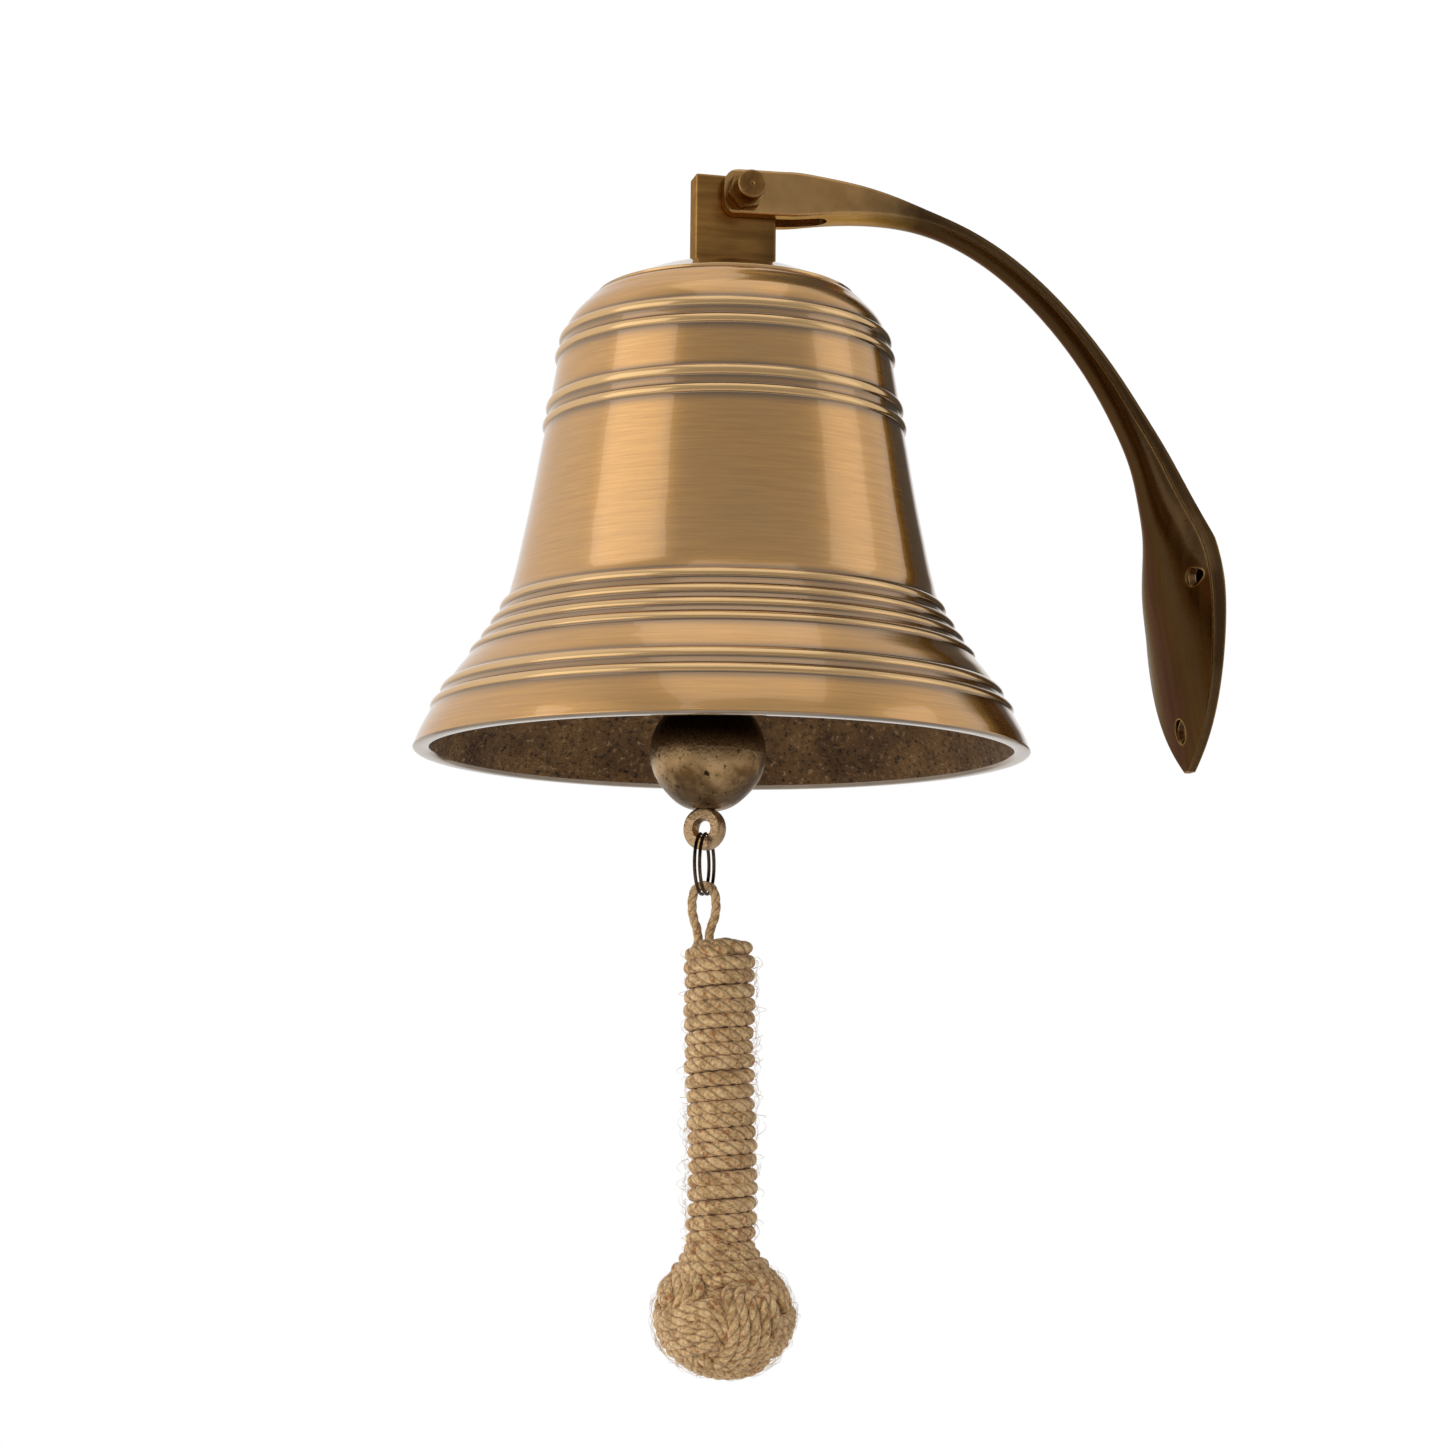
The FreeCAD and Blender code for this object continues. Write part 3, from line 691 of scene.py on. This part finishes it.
def bronze_material(name, along, dark, light, shade_fade=None):
    """Brown bronze with brushed lines along the named axes and golden edges, partly rubbed wear and partly
    a painted highlight.

    The last argument, when given, is (x where a painted shade starts, x where it is full, how dark it
    gets): the colour darkens as x grows to stand in for shade."""
    s = Shader(name)
    place = s.place
    x, y, z = s.parts(place)
    scaled = [s.maths("MULTIPLY", value, 0.1 if axis in along else 1.0)
              for axis, value in zip("xyz", (x, y, z))]
    brush = s.noise(s.vector(*scaled), 260.0, 4.0, 0.65)
    cloud = s.noise(place, 30.0, 4.0, 0.6)
    body = s.mix(s.spread(brush, 0.32, 0.68), dark, light)
    deep = (*[channel * 0.5 for channel in dark[:3]], 1)
    body = s.mix(s.spread(cloud, 0.45, 0.75, 0.0, 0.45), body, deep)
    # golden edges: partly rubbed wear, partly a painted highlight along the rims
    worn_and_highlight = s.maths("MULTIPLY", s.edge(0.0012), s.spread(cloud, 0.25, 0.6, 0.5, 1.0))
    if shade_fade:
        start, full, depth = shade_fade
        # painted shade: darker as x grows, with a ragged edge, and fewer golden edges there
        ragged = s.maths("ADD", x, s.maths("MULTIPLY", s.maths("SUBTRACT", cloud, 0.5), 0.03))
        share = s.spread(ragged, start, full, 0.0, depth)
        body = s.mix(share, body, (0.030, 0.013, 0.0035, 1))
        worn_and_highlight = s.maths("MULTIPLY", worn_and_highlight, s.spread(x, start, full, 1.0, 0.75))
    s.colour(s.mix(worn_and_highlight, body, GOLD))
    s.set(Metallic=1.0, Roughness=s.spread(brush, 0.3, 0.7, 0.21, 0.33))
    s.set(Coat_Weight=0.12, Coat_Roughness=0.08, Coat_IOR=1.45)
    s.set(Specular_Tint=(0.50, 0.40, 0.26, 1))
    s.give(s.surface.inputs["Normal"], s.bump(brush, 0.2, 0.00005))
    return s.material


def clapper_material():
    """Rough cast metal: a painted shadow of the bell makes it nearly black above, brown round the ball with
    painted shade on its underside, paler on the lower lug.
    """
    s = Shader("cast_clapper")
    place = s.place
    _, _, z = s.parts(place)
    h = s.maths("SUBTRACT", z, MOUTH_Z)
    blotch = s.noise(place, 60.0, 4.0, 0.6)
    h = s.maths("ADD", h, s.maths("MULTIPLY", s.maths("SUBTRACT", blotch, 0.5), 0.016))
    pits = s.noise(place, 380.0, 3.0, 0.7)
    grit = s.noise(place, 1200.0, 2.0, 0.6)
    body = s.mix(s.spread(blotch, 0.42, 0.60), (0.19, 0.100, 0.034, 1), (0.56, 0.36, 0.17, 1))
    body = s.mix(s.spread(pits, 0.40, 0.30), body, (0.02, 0.010, 0.004, 1))
    body = s.mix(s.spread(grit, 0.66, 0.8, 0.0, 0.6), body, (0.62, 0.45, 0.26, 1))
    # painted shadow of the bell: nearly black from the ball's top upwards, its edge roughened by blotch
    body = s.mix(s.spread(h, -0.004, 0.007, 0.0, 0.94), body, (0.014, 0.006, 0.002, 1))
    # painted shade: darker on the lower part of the ball
    body = s.mix(s.spread(h, -0.006, -0.014, 0.0, 0.7), body, (0.045, 0.022, 0.008, 1))
    body = s.mix(s.spread(h, -0.017, -0.020, 0.0, 0.8), body, (0.56, 0.37, 0.20, 1))
    s.colour(body)
    s.set(Metallic=0.9, Roughness=s.spread(blotch, 0.3, 0.7, 0.40, 0.28))
    coarse = s.maths("ADD", s.maths("MULTIPLY", pits, 1.6), s.maths("MULTIPLY", blotch, 2.2))
    height = s.maths("ADD", coarse, s.maths("MULTIPLY", grit, 0.5))
    s.give(s.surface.inputs["Normal"], s.bump(height, 0.7, 0.0003))
    return s.material


def wire_material():
    """Dark oiled spring wire."""
    s = Shader("steel_wire")
    grain = s.noise(s.place, 900.0, 3.0)
    s.colour(s.mix(s.spread(grain, 0.3, 0.7), (0.040, 0.024, 0.013, 1), (0.14, 0.085, 0.045, 1)))
    s.set(Metallic=1.0, Roughness=s.spread(grain, 0.3, 0.7, 0.28, 0.42))
    s.give(s.surface.inputs["Normal"], s.bump(grain, 0.2, 0.00004))
    return s.material


def jute_material(name, shade):
    """Jute: tan fibres with pale and rust-brown specks, with painted shade in the grooves between the
    strands.
    """
    s = Shader(name)
    place = s.place
    _, lobe, _ = s.parts(s.along)
    fibres = s.noise(place, 900.0, 4.0, 0.7)
    broad = s.noise(place, 170.0, 4.0, 0.6)
    speck = s.noise(place, 430.0, 2.0, 0.5)

    def tone(red, green, blue):
        return (red * shade, green * shade, blue * shade, 1)

    body = s.mix(s.spread(fibres, 0.34, 0.66), tone(0.30, 0.155, 0.050), tone(0.94, 0.64, 0.31))
    body = s.mix(s.spread(broad, 0.46, 0.72, 0.0, 0.6), body, tone(0.96, 0.68, 0.37))
    body = s.mix(s.spread(broad, 0.47, 0.30, 0.0, 0.75), body, tone(0.34, 0.19, 0.072))
    body = s.mix(s.spread(speck, 0.58, 0.68, 0.0, 0.85), body, tone(0.36, 0.12, 0.028))
    # painted shade in the grooves between the strands
    body = s.mix(s.spread(lobe, 0.5, 0.05, 0.0, 0.75), body, tone(0.17, 0.088, 0.034))
    s.colour(body)
    s.set(Roughness=0.88)
    s.set(Sheen_Weight=0.2, Sheen_Roughness=0.5)
    height = s.maths("ADD", fibres, s.maths("MULTIPLY", speck, 0.5))
    s.give(s.surface.inputs["Normal"], s.bump(height, 0.9, 0.0004))
    return s.material


def fibre_material():
    """Single jute fibres, from brown to straw."""
    s = Shader("jute_fibre")
    tone = s.noise(s.place, 210.0, 2.0)
    s.colour(s.mix(s.spread(tone, 0.35, 0.65), (0.48, 0.27, 0.10, 1), (0.92, 0.68, 0.38, 1)))
    s.set(Roughness=0.7)
    return s.material


def paint(material, *names):
    """Give CAD nodes a material in all their slots."""
    for name in names:
        data = nodes[name].data
        if not data.materials:
            data.materials.append(material)
        for i in range(len(data.materials)):
            data.materials[i] = material
        smooth(data)


# ---- stage and light -------------------------------------------------------
def floor_material():
    """Plain pale paper."""
    s = Shader("floor")
    tone = s.noise(s.place, 3.0)
    s.colour(s.mix(tone, (0.86, 0.86, 0.86, 1), (0.90, 0.90, 0.90, 1)))
    s.set(Roughness=0.8)
    return s.material


def make_floor():
    low = MOUTH_Z - FLOOR_DROP
    corners = [(-1, -1), (1, -1), (1, 1), (-1, 1)]
    mesh = bpy.data.meshes.new("floor")
    mesh.from_pydata([(x * FLOOR_HALF, y * FLOOR_HALF, low) for x, y in corners], [], [(0, 1, 2, 3)])
    mesh.materials.append(floor_material())
    floor = bpy.data.objects.new("floor", mesh)
    scene.collection.objects.link(floor)


def softbox(name, azimuth, elevation, distance, width, height, watts, aim=0.07):
    """An area light that faces a height on the bell's axis. azimuth 0 is in front and 90 towards +X."""
    target = Vector((BELL_X, 0, MOUTH_Z + aim))
    a = math.radians(azimuth)
    e = math.radians(elevation)
    back = Vector((math.sin(a) * math.cos(e), -math.cos(a) * math.cos(e), math.sin(e)))
    data = bpy.data.lights.new(name, "AREA")
    data.shape = "RECTANGLE"
    data.size = width
    data.size_y = height
    data.energy = watts
    light = bpy.data.objects.new(name, data)
    light.location = target + back * distance
    light.rotation_euler = back.to_track_quat("Z", "Y").to_euler()
    scene.collection.objects.link(light)
    return light


def grey_ramp(tree, value, low, high, stops):
    """Greys by value, which runs from low to high. stops are (share of the range, grey), in order."""
    spread = tree.nodes.new("ShaderNodeMapRange")
    spread.inputs["From Min"].default_value = low
    spread.inputs["From Max"].default_value = high
    tree.links.new(value, spread.inputs["Value"])
    ramp = tree.nodes.new("ShaderNodeValToRGB")
    tree.links.new(spread.outputs["Result"], ramp.inputs["Fac"])
    elements = ramp.color_ramp.elements
    elements[0].position = stops[0][0]
    elements[-1].position = stops[-1][0]
    for position, _ in stops[1:-1]:
        elements.new(position)
    for element, (_, grey) in zip(elements, stops):
        element.color = (grey, grey, grey, 1)
    return ramp.outputs["Color"]


def colour_mix(tree, blend, share, a, b):
    node = tree.nodes.new("ShaderNodeMix")
    node.data_type = "RGBA"
    node.blend_type = blend
    for socket, value in [(node.inputs["Factor"], share), (node.inputs[6], a), (node.inputs[7], b)]:
        if isinstance(value, bpy.types.NodeSocket):
            tree.links.new(value, socket)
        else:
            socket.default_value = value
    return node.outputs[2]


def make_world():
    """A white room that is darker in front. The camera itself sees plain white behind the object."""
    world = bpy.data.worlds.new("room")
    scene.world = world
    world.use_nodes = True
    tree = world.node_tree
    coordinates = tree.nodes.new("ShaderNodeTexCoord")
    parts = tree.nodes.new("ShaderNodeSeparateXYZ")
    tree.links.new(coordinates.outputs["Generated"], parts.inputs[0])
    room = grey_ramp(tree, parts.outputs["Y"], -1.0, 1.0, [(0.04, 0.42), (0.34, 0.56), (0.66, 0.90)])

    # the bearing round the object: 0 in front, and 90 degrees towards +X
    ahead = tree.nodes.new("ShaderNodeMath")
    ahead.operation = "MULTIPLY"
    ahead.inputs[1].default_value = -1.0
    tree.links.new(parts.outputs["Y"], ahead.inputs[0])
    bearing = tree.nodes.new("ShaderNodeMath")
    bearing.operation = "ARCTAN2"
    tree.links.new(parts.outputs["X"], bearing.inputs[0])
    tree.links.new(ahead.outputs[0], bearing.inputs[1])
    # a dark panel behind on the right, with soft edges: (degrees, grey)
    panel = [(-180, 1.0), (108, 1.0), (117, 0.10), (142.2, 0.10), (149.4, 1.0), (180, 1.0)]
    stops = [(degrees / 360 + 0.5, grey) for degrees, grey in panel]
    shade = grey_ramp(tree, bearing.outputs[0], -math.pi, math.pi, stops)

    lit = colour_mix(tree, "MULTIPLY", 1.0, room, shade)
    path = tree.nodes.new("ShaderNodeLightPath")
    seen = colour_mix(tree, "MIX", path.outputs["Is Camera Ray"], lit, (1, 1, 1, 1))
    tree.links.new(seen, tree.nodes["Background"].inputs["Color"])


# ---- the scene -------------------------------------------------------------
make_camera()
chance = random.Random(7)
jute = jute_material("jute", 1.0)
make_pull_loop(jute)
make_grip(jute, chance)
make_coils(jute)
make_knot(jute)
# the knot's core is jute at 0.62 of its tone: painted shade in the gaps of the weave
make_knot_core(jute_material("jute_painted_shade", 0.62))
make_fuzz(fibre_material(), chance)
make_bell(bell_material(), cast_inside_material())

# the bracket gets a painted shade over its leaf and lower arm
bracket_bronze = bronze_material("bracket_bronze", "xz", (0.46, 0.25, 0.09, 1), (0.74, 0.45, 0.19, 1),
                                 shade_fade=(-0.126, -0.100, 0.92))
# the crown block gets a painted shade towards its lower right
block_bronze = bronze_material("block_bronze", "x", (0.27, 0.125, 0.030, 1), (0.46, 0.235, 0.065, 1),
                               shade_fade=(-0.172, -0.150, 0.5))
bolt_bronze = bronze_material("bolt_bronze", "", (0.20, 0.092, 0.026, 1), (0.36, 0.185, 0.055, 1))
paint(bracket_bronze, "wall_bracket")
paint(block_bronze, "crown_block")
paint(bolt_bronze, "pivot_bolt", "pivot_cap_nut", "clapper_eyebolt", "crown_washer", "crown_nut")
paint(clapper_material(), "clapper")
paint(wire_material(), "split_ring", "clapper_link")
paint(jute, "pull_core")

make_floor()
make_world()
softbox("left_wide", -72, 12, 1.6, 1.25, 1.7, 5.0)
softbox("right_wide", 66, 14, 1.7, 0.85, 1.6, 2.2)
softbox("top", 0, 72, 1.4, 1.2, 1.2, 1.9)
# this one lights the rope only, and the metal doesn't mirror it
rope_fill = softbox("rope_fill", -55, 8, 1.0, 0.4, 0.4, 1.6, aim=-0.13)
rope_fill.visible_glossy = False

scene.view_settings.view_transform = "Standard"
scene.view_settings.look = "None"
